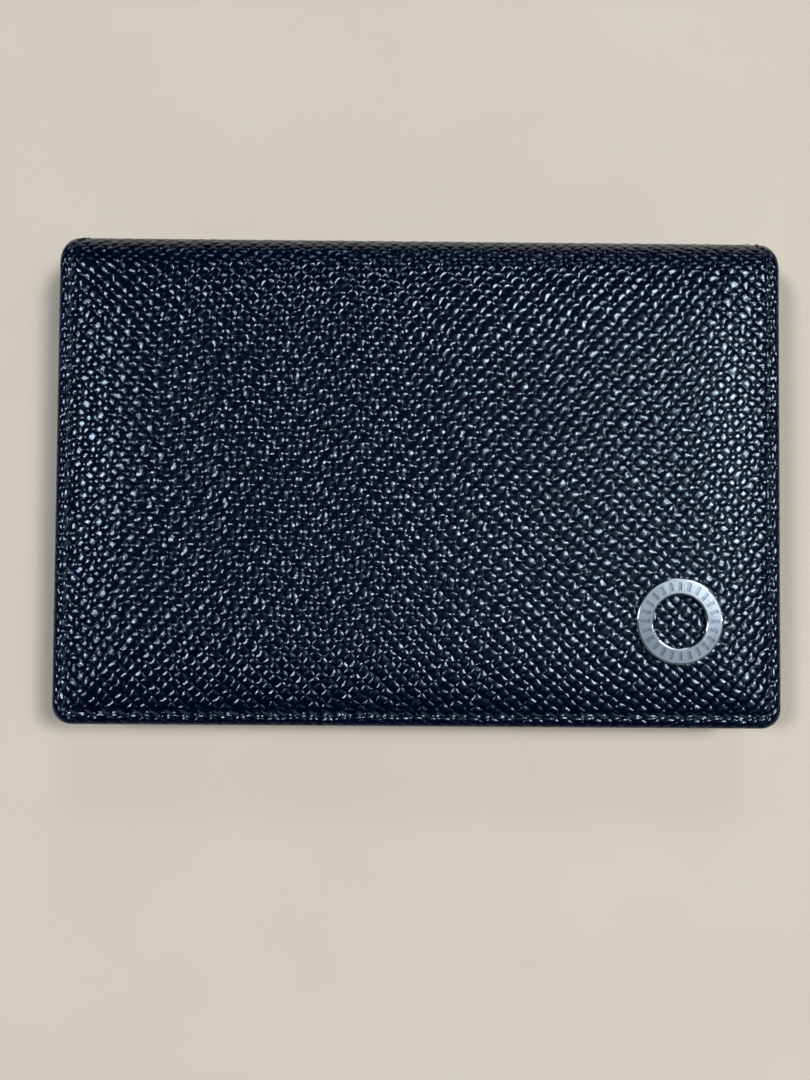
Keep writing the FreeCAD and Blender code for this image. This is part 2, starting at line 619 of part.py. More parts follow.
def row(inset, y, height):
    """Places of stitches in a straight row across a panel, between its side seams."""
    wide = mm(f"{HALF_WIDTH} - ({inset})") - mm("Sizes.stitch_pitch")
    count = round(2 * wide / mm("Sizes.stitch_pitch"))
    return [(V((k + 0.5) * 2 * wide / count - wide, y, height), V(1, 0, 0)) for k in range(count)]


def make_edge_stitches():
    r, sunk = mm("Sizes.thread_radius"), mm("Sizes.groove_depth")
    start = f"{FOLD_START} - Sizes.groove_width / 2"
    make_stitches("back_outer_stitches",
                  seam("Sizes.seam_inset", start, lambda y: sunk - r))
    flange_top = mm(f"{POCKET_FLOOR} + Sizes.gusset_thickness")
    make_stitches("back_inner_stitches",
                  seam("Sizes.seam_inset", "Sizes.pocket_mouth - Sizes.stitch_pitch",
                       lambda y: flange_top + r))
    make_stitches("flap_outer_stitches",
                  seam("Sizes.seam_inset", start, lambda y: mm(FLAP_TOP) - sunk + r))

    reach = mm("Sizes.stitch_pitch * Sizes.stitch_share / 2")

    def flap_inside(y):
        for mouth, level in ((mm("Sizes.flap_slot_mouth"), FLAP_SLOT_LEVEL),
                             (mm("Sizes.flap_slip_mouth"), FLAP_SLIP_LEVEL)):
            if y < mouth + reach:
                return mm(level) - r
        return mm(FLAP_LINING_LEVEL) - r

    make_stitches("flap_inner_stitches",
                  seam("Sizes.seam_inset", "Sizes.lining_top - Sizes.groove_width", flap_inside))
    front_seam = "Sizes.inner_inset + Sizes.seam_inset"
    slot_mouth = mm("Sizes.pocket_slot_mouth") + reach
    make_stitches("pocket_front_stitches",
                  seam(front_seam, "Sizes.pocket_mouth - Sizes.seam_inset",
                       lambda y: mm(SLOT_TOP if y < slot_mouth else SLOT_LEVEL) + r))
    make_stitches("pocket_mouth_stitches",
                  row(front_seam, mm("Sizes.pocket_mouth - Sizes.seam_inset"),
                      mm(SLOT_LEVEL) + r))


def make_spine_stitches():
    """The side seams carried over the spine: round the end of each crease, and on the wall."""
    east = mm(f"{HALF_WIDTH} - Sizes.seam_inset")
    middle_y, radius, top = mm(FOLD_START), mm("Sizes.fold_radius"), mm(FLAP_TOP)
    seam_radius = mm("Sizes.fold_radius - Sizes.groove_depth + Sizes.thread_radius")
    for label, centre, start in (
        ("lower_fold_stitches", radius, -math.pi / 2),
        ("upper_fold_stitches", top - radius, 0),
    ):
        places = []
        for k in range(FOLD_STITCHES):
            turn = start + (k + 0.5) * math.pi / 2 / FOLD_STITCHES
            for x in (-east, east):
                point = V(x, middle_y + seam_radius * math.cos(turn),
                          centre + seam_radius * math.sin(turn))
                places.append((point, V(0, -math.sin(turn), math.cos(turn))))
        make_stitches(label, places)
    wall = mm(f"{SPINE_OUTSIDE} - Sizes.groove_depth + Sizes.thread_radius")
    make_stitches("spine_stitches", [(V(x, wall, top / 2), V(0, 0, 1)) for x in (-east, east)])


# ---------------------------------------------------------------- document

def check_and_export():
    """Stops on any failed object, then writes one STEP file for each node."""
    doc.recompute()
    failed = [o.Name for o in doc.Objects if {"Invalid", "Error"} & set(o.State)]
    if failed:
        raise RuntimeError(f"objects failed: {failed}")
    os.makedirs("parts", exist_ok=True)
    for node in nodes:
        if node.Shape.isNull() or not node.Shape.isValid() or node.Shape.Volume <= 0:
            raise RuntimeError(f"{node.Label} has no valid shape")
        node.Shape.exportStep(f"parts/{node.Label}.step")
        box = node.Shape.BoundBox
        print(f"{node.Label:28s} solids {len(node.Shape.Solids):3d}  volume {node.Shape.Volume:9.2f}"
              f"  z {box.ZMin:6.2f} to {box.ZMax:6.2f}")


fill_sheet()
make_back_half()
make_pocket_front()
make_gusset()
make_fold("lower_fold_leather", "lower_fold_lining", "Sizes.fold_radius", upper=False)
make_spine_wall()
make_fold("upper_fold_leather", "upper_fold_lining", f"{FLAP_TOP} - Sizes.fold_radius", upper=True)
make_lining_tab("back_spine_lining_tab", HEM_LEVEL)
make_lining_tab("flap_spine_lining_tab", FLAP_BOARD_LEVEL)
make_flap()
make_emblem()
make_edge_stitches()
make_spine_stitches()
check_and_export()
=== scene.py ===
"""Looks of the business card case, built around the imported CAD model. Metres, in the CAD's frame.

The cover is two closed leather shells that meet halfway up the spine. Each is laid out flat in
x and in s, the distance along its outside from the free edge, and then wrapped round the spine.
"""
import math
import random

import bmesh
import bpy
import numpy as np
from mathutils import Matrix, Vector


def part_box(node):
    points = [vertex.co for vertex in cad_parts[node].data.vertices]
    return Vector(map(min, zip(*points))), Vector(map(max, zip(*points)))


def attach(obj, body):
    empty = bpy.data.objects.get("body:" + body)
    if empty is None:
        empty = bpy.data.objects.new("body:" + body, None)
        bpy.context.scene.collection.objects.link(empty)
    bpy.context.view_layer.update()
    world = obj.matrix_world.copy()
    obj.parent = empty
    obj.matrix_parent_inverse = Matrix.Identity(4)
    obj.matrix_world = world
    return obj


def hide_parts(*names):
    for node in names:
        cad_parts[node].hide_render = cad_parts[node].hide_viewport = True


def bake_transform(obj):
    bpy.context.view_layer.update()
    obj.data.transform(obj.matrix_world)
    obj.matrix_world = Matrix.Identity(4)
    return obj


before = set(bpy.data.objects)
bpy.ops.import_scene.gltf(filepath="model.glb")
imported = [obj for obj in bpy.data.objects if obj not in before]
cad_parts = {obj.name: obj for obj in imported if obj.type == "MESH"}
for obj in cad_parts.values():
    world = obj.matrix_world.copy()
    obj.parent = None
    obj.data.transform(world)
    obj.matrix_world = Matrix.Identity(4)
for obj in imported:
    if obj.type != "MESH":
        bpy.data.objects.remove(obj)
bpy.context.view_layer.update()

MM = 0.001

# ---------------------------------------------------------------- places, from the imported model

BACK_LO, BACK_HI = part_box("back_cover_leather")
FLAP_LO, FLAP_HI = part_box("flap_cover_leather")
FOLD_LO, FOLD_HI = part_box("upper_fold_leather")
WALL_LO, WALL_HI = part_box("spine_leather")
TAB_LO, TAB_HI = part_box("flap_spine_lining_tab")
RING_LO, RING_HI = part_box("emblem_ring")
RING_RADIUS = (RING_HI.x - RING_LO.x) / 2
FLUTE_RADIUS = RING_RADIUS * 5.25 / 6.5     # middle of the ring's band, where its flutes are

HALF_WIDTH = BACK_HI.x
FREE_EDGE = BACK_LO.y
SPINE = FOLD_HI.y
FLAP_FACE = FOLD_HI.z                       # outside of the flap, at its edge
FOLD_RADIUS = FOLD_HI.y - FOLD_LO.y
FOLD_START = FOLD_LO.y
HEM = HALF_WIDTH - TAB_HI.x                 # turned-in border
SHELL = FLAP_FACE - FLAP_LO.z               # leather and its hem
PLATE = FLAP_FACE - TAB_HI.z                # leather alone
CROWN = FLAP_HI.z - FLAP_FACE

FLAT_RUN = FOLD_START - FREE_EDGE
FOLD_RUN = FOLD_RADIUS * math.pi / 2
GIRTH = FLAT_RUN + FOLD_RUN + WALL_LO.z + (WALL_HI.z - WALL_LO.z) / 2 - FOLD_RADIUS

CORNER = 3.0 * MM                           # corners at the free edge
ROLL = 1.5 * MM                             # width of the rounded edge, on the outside
TUCK = 1.0 * MM                             # the same on the underside
SEAM = 1.9 * MM                             # seam, from the edge
GROOVE = 0.17 * MM                          # how deep the seam is pressed in
GROOVE_HALF_WIDTH = 0.32 * MM
CROWN_START = 2.3 * MM                      # from the edge to where the flap starts to swell
CROWN_RUN = 12.0 * MM                       # from there to its full height
CROWN_SHAPE = 2.2
SPINE_PULL = 1.8 * MM                       # how far the spine's ends draw in
GRID = 0.32 * MM                            # spacing of the leather's vertices
EDGE_STEPS = [0, 0.05, 0.2, 0.45, 0.75, 1.0, 1.25, 1.5, 1.7, 1.9, 2.1, 2.3, 2.6, 2.9, 3.2]
ROLLED = 6                                  # of the edge steps, those on the rounded edge

# ---------------------------------------------------------------- leather grain

PEBBLE_HEIGHT = 0.12 * MM
LATTICE = ((1.00, 1.06), (1.03, -0.92))     # one pebble to the next, in millimetres
DOME = 3.5                                  # how square a pebble's dome is
VALLEY = 0.07                               # height of the rounded valleys
ROWS = 0.22                                 # how far the pebbles join up into rows
CREASED = 0.05                              # fine creases across the pebbles
TILT = 0.24                                 # how much a pebble leans
SHORTER = 0.24                              # how much lower the lowest pebbles are
draw = random.Random(11)
# Waves that bend the lattice: angle, length, size and two phases, in millimetres and radians.
WAVES = [(draw.uniform(0, math.pi), length, size, draw.uniform(0, 6), draw.uniform(0, 6))
         for length, size in ((19.0, 0.35), (5.3, 0.12), (3.1, 0.11), (2.2, 0.07))]
CELL_WAVES = ((1.93, 2.71, 0.3), (2.37, -3.17, 1.1))    # each pebble's own two values
det = LATTICE[0][0] * LATTICE[1][1] - LATTICE[0][1] * LATTICE[1][0]
RECIPROCAL = ((LATTICE[1][1] / det, -LATTICE[1][0] / det),
              (-LATTICE[0][1] / det, LATTICE[0][0] / det))


def grain(x, s):
    """Height of the pebbled grain, 0 in its valleys and about 1 on its tops. x and s in metres."""
    px, py = x / MM, s / MM
    qx, qy = px.copy(), py.copy()
    for angle, length, size, phase_x, phase_y in WAVES:
        k = 2 * math.pi / length
        c, n = math.cos(angle) * k, math.sin(angle) * k
        qx += size * np.sin(c * px - n * py + phase_x)
        qy += size * np.sin(n * px + c * py + phase_y)
    cells = [qx * b[0] + qy * b[1] for b in RECIPROCAL]
    whole = [np.floor(c) for c in cells]
    across = [c - w - 0.5 for c, w in zip(cells, whole)]
    luck = [np.sin(a * whole[0] + b * whole[1] + p) for a, b, p in CELL_WAVES]
    sides = [1 - np.abs(2 * a) ** DOME for a in across]
    dome = sides[0] * sides[1] * (1 - ROWS) + (sides[0] + sides[1]) / 2 * ROWS
    lean = 1 + TILT * (luck[0] * across[0] + luck[1] * across[1])
    height = dome * lean * (1 - SHORTER * (0.5 + 0.5 * luck[0]))
    height -= CREASED * (1 + luck[1]) * sum(np.cos(4 * math.pi * a) for a in across) / 2
    near = np.maximum(2 * VALLEY - np.abs(height - VALLEY), 0) / (2 * VALLEY)
    return np.maximum(height, VALLEY) + near ** 3 * VALLEY / 3


# ---------------------------------------------------------------- shape of the cover

def half_width(y):
    """The leather's half width where its outside is at y: it draws in round the spine."""
    reach = np.clip((y - FOLD_START) / (SPINE - FOLD_START), 0, 1)
    return HALF_WIDTH - SPINE_PULL * (1 - np.sqrt(np.clip(1 - reach ** 2.2, 0, 1)))


def section(s, flap):
    """(y, z, normal y, normal z) of the cover's outside at distance s from the free edge."""
    turn = np.clip((s - FLAT_RUN) / FOLD_RADIUS, 0, math.pi / 2)
    y = FREE_EDGE + np.minimum(s, FLAT_RUN) + FOLD_RADIUS * np.sin(turn)
    down = FOLD_RADIUS * (1 - np.cos(turn)) + np.maximum(s - FLAT_RUN - FOLD_RUN, 0)
    z = FLAP_FACE - down if flap else down
    return y, z, np.sin(turn), np.cos(turn) * (1 if flap else -1)


def inset(x, s, width):
    """Distance from the cover's outline, which has round corners at the free edge."""
    dx, ds = width - np.abs(x), s
    corner = CORNER - np.hypot(CORNER - dx, CORNER - ds)
    return np.where((dx < CORNER) & (ds < CORNER), corner, np.minimum(dx, ds))


def row_half_width(s, y):
    """Half the length of the row at s, shorter at the round corners."""
    cut = CORNER - np.minimum(s, CORNER)
    return half_width(y) - (CORNER - np.sqrt(np.maximum(CORNER ** 2 - cut ** 2, 0)))


def rounding(d, width):
    """How far the rounded edge is below the face, as a share of its height."""
    t = np.clip(1 - d / width, 0, 1)
    return 1 - np.sqrt(1 - t ** 2.4)


def crown(d, s):
    """How far the flap swells: it rises from the seams and falls again towards the spine."""
    side = np.clip((d - CROWN_START) / CROWN_RUN, 0, 1)
    end = np.clip((FLAT_RUN + 1.5 * MM - s) / CROWN_RUN, 0, 1)
    return CROWN * (1 - (1 - side) ** CROWN_SHAPE) * (1 - (1 - end) ** CROWN_SHAPE)


def outer_depth(x, s, width, flap):
    """How far the leather's outside is under its nominal face, grain included."""
    d = inset(x, s, width)
    v = s if flap else 2 * GIRTH - s
    pressed = np.exp(-((d - SEAM) / GROOVE_HALF_WIDTH) ** 2)
    depth = SHELL / 2 * rounding(d, ROLL) + GROOVE * pressed
    depth += PEBBLE_HEIGHT * (1 - grain(x, v)) * np.clip(d / TUCK, 0, 1) * (1 - 0.45 * pressed)
    return depth - (crown(d, s) if flap else 0)


def inner_depth(x, s, width):
    """The same for the underside, with its hem and the bed inside it."""
    d = inset(x, s, width)
    hem = SHELL - SHELL / 2 * rounding(d, TUCK)
    bed = (np.abs(x) < HALF_WIDTH - HEM - 0.1 * MM) & (s > HEM + 0.1 * MM)
    return np.where(bed, PLATE, hem)


def grid_faces(ids):
    """Four-sided faces over a grid of vertex numbers."""
    return np.stack([ids[:-1, :-1], ids[:-1, 1:], ids[1:, 1:], ids[1:, :-1]], -1).reshape(-1, 4)


def new_piece(name, verts, faces, smooth_angle):
    """A closed mesh object with outward normals, smooth except across sharp edges."""
    mesh = bpy.data.meshes.new(name)
    mesh.from_pydata([tuple(v) for v in verts], [], [tuple(f) for f in faces])
    work = bmesh.new()
    work.from_mesh(mesh)
    bmesh.ops.recalc_face_normals(work, faces=work.faces)
    work.to_mesh(mesh)
    work.free()
    mesh.shade_smooth()
    mesh.set_sharp_from_angle(angle=math.radians(smooth_angle))
    piece = bpy.data.objects.new(name, mesh)
    bpy.context.scene.collection.objects.link(piece)
    return piece


def edge_spacing(length, both_ends):
    """Distances from 0 to length, close together at the edge and GRID apart elsewhere."""
    start = [step * MM for step in EDGE_STEPS]
    stop = length - start[-1] if both_ends else length
    count = max(2, round((stop - start[-1]) / GRID))
    middle = list(np.linspace(start[-1], stop, count + 1))
    tail = [length - step for step in reversed(start[:-1])] if both_ends else []
    return np.array(start + middle[1:] + tail)


def wrap(x, s, depth, flap):
    """Points of the flat layout, put where the cover really is."""
    y, z, ny, nz = section(s, flap)
    return np.stack([x, y - ny * depth, z - nz * depth], -1)


def cover_shell(name, flap):
    """One half of the cover: outside, rounded edge, hem, bed and the cut at the middle."""
    s = edge_spacing(GIRTH, False)
    share = edge_spacing(2 * HALF_WIDTH, True) / HALF_WIDTH - 1
    ss, uu = np.meshgrid(s, share, indexing="ij")
    y = section(ss, flap)[0]
    width = half_width(y)
    xx = uu * row_half_width(ss, y)         # every row has the same columns, drawn in with it
    verts = [wrap(xx, ss, outer_depth(xx, ss, width, flap), flap).reshape(-1, 3)]
    flat = [np.stack([xx, ss], -1).reshape(-1, 2)]
    rows, columns = ss.shape
    outer = np.arange(rows * columns).reshape(rows, columns)
    faces = [grid_faces(outer)]
    count = rows * columns

    # The rounded edge's underside: whole rows at the free edge, then columns at the sides.
    under = np.full((rows, columns), -1)
    under[0], under[:, 0], under[:, -1] = outer[0], outer[:, 0], outer[:, -1]
    keep = np.zeros((rows, columns), bool)
    keep[1:ROLLED, 1:-1] = True
    keep[ROLLED:, 1:ROLLED] = keep[ROLLED:, -ROLLED:-1] = True
    under[keep] = count + np.arange(keep.sum())
    count += keep.sum()
    verts.append(wrap(xx[keep], ss[keep], inner_depth(xx, ss, width)[keep], flap))
    flat.append(np.stack([xx[keep], ss[keep]], -1))
    faces.append(grid_faces(under[:ROLLED]))
    faces.append(grid_faces(under[ROLLED - 1:, :ROLLED]))
    faces.append(grid_faces(under[ROLLED - 1:, -ROLLED:]))

    # The hem's flat and the bed, a strip of faces for each row.
    lip, slope = HALF_WIDTH - HEM, 0.2 * MM
    bed_x = np.array([-lip, slope - lip, lip - slope, lip])
    bs, bx = np.meshgrid(s[ROLLED:], bed_x, indexing="ij")
    verts.append(wrap(bx, bs, inner_depth(bx, bs, half_width(section(bs, flap)[0])),
                      flap).reshape(-1, 3))
    flat.append(np.stack([bx, bs], -1).reshape(-1, 2))
    bed = count + np.arange(bx.size).reshape(bx.shape)
    strip = np.concatenate([under[ROLLED:, ROLLED - 1:ROLLED], bed,
                            under[ROLLED:, -ROLLED:-ROLLED + 1]], 1)
    faces.append(grid_faces(strip))
    first = list(under[ROLLED - 1, ROLLED - 1:columns - ROLLED + 1])
    ngons = [first + list(strip[0][::-1])]
    last = list(under[-1, :ROLLED]) + list(bed[-1]) + list(under[-1, -ROLLED:])
    ngons.append(list(outer[-1]) + last[-2:0:-1])

    points = np.concatenate(verts)
    piece = new_piece(name, points, [f for group in faces for f in group] + ngons, 45)
    add_flat_map(piece, np.concatenate(flat), flap)
    return piece


def add_flat_map(piece, flat, flap):
    """Stores where each vertex lies on the flat hide, in decimetres, for the grain."""
    layer = piece.data.uv_layers.new(name="hide")
    u, v = flat[:, 0] * 10, (flat[:, 1] if flap else 2 * GIRTH - flat[:, 1]) * 10
    corners = np.empty(len(piece.data.loops), np.int32)
    piece.data.loops.foreach_get("vertex_index", corners)
    layer.data.foreach_set("uv", np.stack([u[corners], v[corners]], -1).ravel())


# ---------------------------------------------------------------- closed slabs and swept strips

def slab(name, xs, ys, top, bottom, half, corner, start):
    """A closed sheet over a grid whose rows shorten at the two round corners of the free edge."""
    yy, share = np.meshgrid(ys, np.asarray(xs) / half, indexing="ij")
    cut = corner - np.minimum(yy - start, corner)
    xx = share * (half - corner + np.sqrt(np.maximum(corner ** 2 - cut ** 2, 0)))
    upper = np.stack([xx, yy, top(xx, yy)], -1).reshape(-1, 3)
    lower = np.stack([xx, yy, bottom(xx, yy)], -1).reshape(-1, 3)
    ids = np.arange(xx.size).reshape(xx.shape)
    rim = np.concatenate([ids[0], ids[1:, -1], ids[-1, -2::-1], ids[-2:0:-1, 0]])
    band = np.stack([np.append(rim, rim[0]), np.append(rim, rim[0]) + xx.size])
    faces = [grid_faces(ids), grid_faces(ids + xx.size), grid_faces(band)]
    return new_piece(name, np.concatenate([upper, lower]), [f for g in faces for f in g], 35)


def lines(low, high, step, *extra):
    """Grid lines from low to high about step apart, closer together at the ends, and extra ones."""
    fine = [0.06 * MM, 0.18 * MM, 0.4 * MM, 0.8 * MM]
    inner = np.linspace(low + 1.4 * MM, high - 1.4 * MM, max(2, round((high - low) / step)))
    return np.array(sorted([low, high, *inner, *extra] + [low + f for f in fine]
                           + [high - f for f in fine]))


def u_path(e, radius, top):
    """Points at inset e down the left side, along the free edge and up the right side to top."""
    side_points, bend_points, run_points = 60, 9, 100
    x, y = HALF_WIDTH - e, FREE_EDGE + e
    turn = np.linspace(0, math.pi / 2, bend_points)
    side = np.stack([np.full(side_points, -x), np.linspace(top, y + radius, side_points)], -1)
    bend = np.stack([-x + radius - radius * np.cos(turn), y + radius - radius * np.sin(turn)], -1)
    left = np.concatenate([side[:-1], bend])
    run = np.linspace(-x + radius, x - radius, run_points)[1:-1]
    return np.concatenate([left, np.stack([run, np.full(len(run), y)], -1),
                           left[::-1] * (-1, 1)])


def smooth_curve(points):
    """A Catmull-Rom curve through the points."""
    steps = 5
    p = np.array(points, float)
    p = np.concatenate([[2 * p[0] - p[1]], p, [2 * p[-1] - p[-2]]])
    out = []
    for a, b, c, d in zip(p, p[1:], p[2:], p[3:]):
        for t in np.arange(steps) / steps:
            out.append(0.5 * (2 * b + (c - a) * t + (2 * a - 5 * b + 4 * c - d) * t * t
                              + (3 * b - a - 3 * c + d) * t ** 3))
    return np.array(out + [p[-2]])


GUSSET_THICK = 0.6 * MM


def gusset(name):
    """The pocket's bellows: a strip sewn below and above, folded inwards between."""
    lo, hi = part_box("pocket_gusset")
    thick, reach = GUSSET_THICK, 7.25 * MM
    mid = (lo.z + hi.z) / 2
    first = HALF_WIDTH - hi.x
    half = [(first, lo.z + thick / 2), (first + 2.6 * MM, lo.z + thick / 2),
            (first + 4.0 * MM, lo.z + thick * 0.8), (reach - 0.5 * MM, mid - 0.75 * MM)]
    line = smooth_curve(half + [(reach, mid)] + [(e, 2 * mid - z) for e, z in half[::-1]])
    along = np.gradient(line, axis=0)
    along /= np.linalg.norm(along, axis=1)[:, None]
    out = np.stack([-along[:, 1], along[:, 0]], -1) * thick / 2
    outline = np.concatenate([line + out, (line - out)[::-1]])
    outline[:, 1] = np.clip(outline[:, 1], lo.z, hi.z)
    rings = []
    for e, z in outline:
        radius = np.interp(e, [first, reach], [2.0 * MM, 0.7 * MM])
        path = u_path(e, radius, hi.y)
        rings.append(np.column_stack([path, np.full(len(path), z)]))
    grid = np.stack(rings + [rings[0]])
    ids = np.arange(len(rings) * grid.shape[1]).reshape(len(rings), -1)
    ids = np.concatenate([ids, ids[:1]])
    faces = [tuple(f) for f in grid_faces(ids)]
    for column in (0, -1):                  # the strip's two ends
        for a in range(len(line) - 1):
            b = len(rings) - 1 - a
            faces.append((ids[a, column], ids[a + 1, column], ids[b - 1, column], ids[b, column]))
    return new_piece(name, grid[:-1].reshape(-1, 3), faces, 50)


# ---------------------------------------------------------------- sewing

PITCH = 2.4 * MM                            # from one stitch to the next
STITCH = 1.95 * MM                          # length of a stitch
THREAD = 0.19 * MM                          # radius of the thread
SLANT = 0.55                                # of a stitch against its seam
PLIES = 2
TWIST = 3.6                                 # of the thread, in radians over half a stitch
DIVE = 0.36 * MM                            # how far a stitch's ends go into the leather
STITCH_LIFT = 0.06 * MM                     # of the inner seams, over the face they are on


def stitch(centre, along, across, up):
    """One stitch of twisted thread whose ends dive into the leather."""
    rings, sides = 11, 10
    t = np.linspace(-1, 1, rings)
    heading = along - across * SLANT
    heading /= np.linalg.norm(heading)
    beside = np.cross(up, heading)
    dive = np.abs(t) ** 4 * DIVE
    line = centre + np.outer(t * STITCH / 2, heading) - np.outer(dive, up)
    turn = np.linspace(0, 2 * math.pi, sides, endpoint=False)
    ply = THREAD * (1 + 0.20 * np.cos(PLIES * (turn[None] - t[:, None] * TWIST)))
    ply *= (1 - 0.55 * np.abs(t[:, None]) ** 6)
    points = line[:, None] + ply[..., None] * (np.cos(turn)[None, :, None] * beside
                                               + np.sin(turn)[None, :, None] * up)
    ids = np.arange(rings * sides).reshape(rings, sides)
    faces = grid_faces(np.concatenate([ids, ids[:, :1]], 1))
    caps = [tuple(ids[0][::-1]), tuple(ids[-1])]
    return points.reshape(-1, 3), [tuple(f) for f in faces] + caps


def sew(name, points, ups):
    """A seam of stitches along the points; ups are the outward normals there."""
    verts, faces, count = [], [], 0
    reach = np.concatenate([[0], np.cumsum(np.linalg.norm(np.diff(points, axis=0), axis=1))])
    number = max(1, int(reach[-1] / PITCH))
    gap = (reach[-1] - number * PITCH) / 2

    def read(table, at):
        return np.array([np.interp(at, reach, table[:, i]) for i in range(3)])

    for k in range(number):
        at = gap + (k + 0.5) * PITCH
        along = read(points, at + PITCH * 0.3) - read(points, at - PITCH * 0.3)
        along /= np.linalg.norm(along)
        up = read(ups, at)
        up -= along * (up @ along)
        up /= np.linalg.norm(up)
        v, f = stitch(read(points, at), along, np.cross(up, along), up)
        verts.append(v)
        faces += [tuple(i + count for i in face) for face in f]
        count += len(v)
    return new_piece(name, np.concatenate(verts), faces, 60)


def cover_seam(flap):
    """The seam round three sides of a half of the cover, from the middle of the spine."""
    s = np.linspace(GIRTH - 0.1 * MM, CORNER, 160)
    y = section(s, flap)[0]
    x = half_width(y) - SEAM
    turn = np.linspace(0, math.pi / 2, 8)[1:]
    r = CORNER - SEAM
    corner_x, corner_s = HALF_WIDTH - CORNER + r * np.cos(turn), CORNER - r * np.sin(turn)
    run = np.linspace(HALF_WIDTH - CORNER, 0, 60)[1:]
    xs = np.concatenate([x, corner_x, run])
    ss = np.concatenate([s, corner_s, np.full(len(run), SEAM)])
    xs, ss = np.concatenate([xs, -xs[-2::-1]]), np.concatenate([ss, ss[-2::-1]])
    points = wrap(xs, ss, np.full(len(xs), GROOVE - 0.10 * MM), flap)
    _, _, ny, nz = section(ss, flap)
    return points, np.stack([np.zeros(len(xs)), ny, nz], -1)


def inner_seam(inset_by, levels, up, top):
    """A seam on the inner layers, up to y = top. levels are (from y, z) steps; up is 1 or -1."""
    path = u_path(inset_by, max(CORNER - inset_by, 0.5 * MM), top)
    z = np.zeros(len(path))
    for start, level in levels:
        z[path[:, 1] >= start] = level
    return (np.column_stack([path, z + up * STITCH_LIFT]),
            np.column_stack([np.zeros((len(path), 2)), np.full(len(path), up)]))


# ---------------------------------------------------------------- inner layers

SLOT_BORDER = 3.0 * MM                      # glued border of a slot panel
SLOT_GAP = 0.4 * MM                         # depth of the space behind it
CREASE = 1.7 * MM                           # the crease beside a panel's mouth, from its edge
PANEL_SEAM_TOP = 24.8 * MM                  # where the pocket's two seams end
FLAP_SEAM_TOP = 26.9 * MM                   # where the flap's inner seam ends


def leather_panel(name, node, up, slot):
    """An inner leather panel: a burnished mouth with a crease beside it, sewn round the rest.

    up is 1 where its face looks up, and -1 where it looks down. A slot leaves a space behind it.
    """
    lo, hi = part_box(node)
    thick, half = hi.z - lo.z, hi.x
    face, back = (hi.z, lo.z) if up > 0 else (lo.z, hi.z)

    def relief(x, y):
        mouth, side = hi.y - y, np.minimum(half - np.abs(x), y - lo.y)
        edge = np.clip(1 - mouth / (0.4 * MM), 0, 1) ** 2 * 0.2 * MM
        edge = np.maximum(edge, np.clip(1 - side / (0.3 * MM), 0, 1) ** 2 * 0.15 * MM)
        crease = 0.14 * MM * np.exp(-((mouth - CREASE) / (0.22 * MM)) ** 2)
        sewn = 0.10 * MM * np.exp(-((side - (SEAM - 1.0 * MM)) / (0.35 * MM)) ** 2)
        return face - up * (edge + crease + sewn)

    def behind(x, y):
        if not slot:
            return np.full(x.shape, back)
        inside = (np.abs(x) < half - SLOT_BORDER + 0.05 * MM) & (y > lo.y + SLOT_BORDER)
        return np.where(inside, back + up * SLOT_GAP, back)

    crease_lines = [hi.y - CREASE + k * 0.15 * MM for k in (-2, -1, 0, 1, 2)]
    xs = lines(-half, half, 1.2 * MM)
    ys = lines(lo.y, hi.y, 1.2 * MM, *crease_lines)
    return slab(name, xs, ys, relief, behind, half, 2.0 * MM, lo.y)


def cloth_lining(name, node, seed):
    """A textile lining, glued down, with the faint swells that cloth keeps."""
    lo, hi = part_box(node)
    phase = random.Random(seed).uniform(0, 6)

    def swell(x, y):
        return 0.02 * MM * (np.sin(x / (5.1 * MM) + phase) * np.sin(y / (4.3 * MM) - phase))

    xs, ys = lines(lo.x, hi.x, 1.5 * MM), lines(lo.y, hi.y, 1.5 * MM)
    piece = slab(name, xs, ys, lambda x, y: hi.z - 0.03 * MM + swell(x, y),
                 lambda x, y: np.full(x.shape, lo.z), hi.x, 2.0 * MM, lo.y)
    return piece


def spine_lining(name, flap):
    """Half of the leather strip inside the spine, which lies in the cover's bed."""
    s = np.linspace(TAB_LO.y - FREE_EDGE, GIRTH, 90)
    half = TAB_HI.x - 0.15 * MM
    xs = lines(-half, half, 1.2 * MM)
    ss, xx = np.meshgrid(s, xs, indexing="ij")
    fold = np.clip((ss - FLAT_RUN) / FOLD_RUN, 0, 1)
    pleat = 0.05 * MM * np.sin(math.pi * fold) ** 2 * np.sin(ss / (0.35 * MM) + np.sin(xx / (6 * MM)))
    outside = wrap(xx, ss, np.full(xx.shape, PLATE), flap).reshape(-1, 3)
    inside = wrap(xx, ss, SHELL - 0.05 * MM + pleat, flap).reshape(-1, 3)
    ids = np.arange(xx.size).reshape(xx.shape)
    rim = np.concatenate([ids[0], ids[1:, -1], ids[-1, -2::-1], ids[-2::-1, 0]])
    faces = [grid_faces(ids), grid_faces(ids + xx.size), grid_faces(np.stack([rim, rim + xx.size]))]
    return new_piece(name, np.concatenate([outside, inside]), [f for g in faces for f in g], 40)


# ---------------------------------------------------------------- materials

